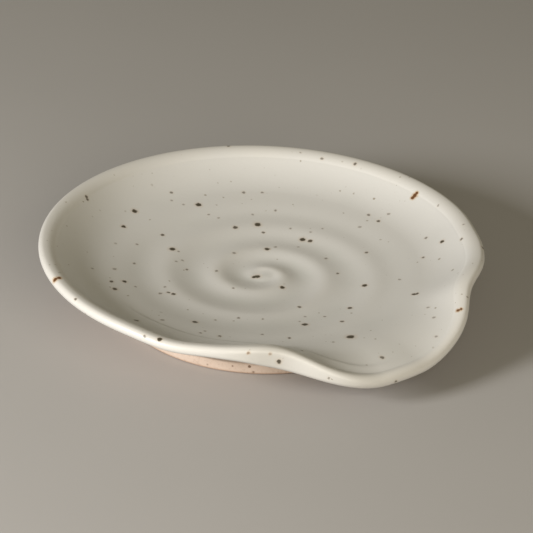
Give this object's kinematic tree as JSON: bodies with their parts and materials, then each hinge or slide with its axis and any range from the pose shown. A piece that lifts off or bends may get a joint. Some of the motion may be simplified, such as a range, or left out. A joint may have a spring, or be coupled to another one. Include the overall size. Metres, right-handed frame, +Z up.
{
  "type": "spoon rest",
  "caption": "Shallow round stoneware dish with one lip pulled down to carry a spoon's handle, a finger spiral in its well, cream glaze and a bare foot.",
  "frame": {"origin": "on the table, under the middle of the dish's whole length and width", "axes": "+Z up from the table, +X from the well out along the middle of the spoon lip"},
  "size_m": [0.133, 0.13, 0.0208],
  "materials": {
    "bare_stoneware": "matt bare clay with fine grog and iron specks",
    "cream_glaze": "satin cream glaze with brown iron specks"
  },
  "bodies": {
    "root": {"stoneware_body": "bare_stoneware", "glaze_coat": "cream_glaze"}
  },
  "joints": []
}
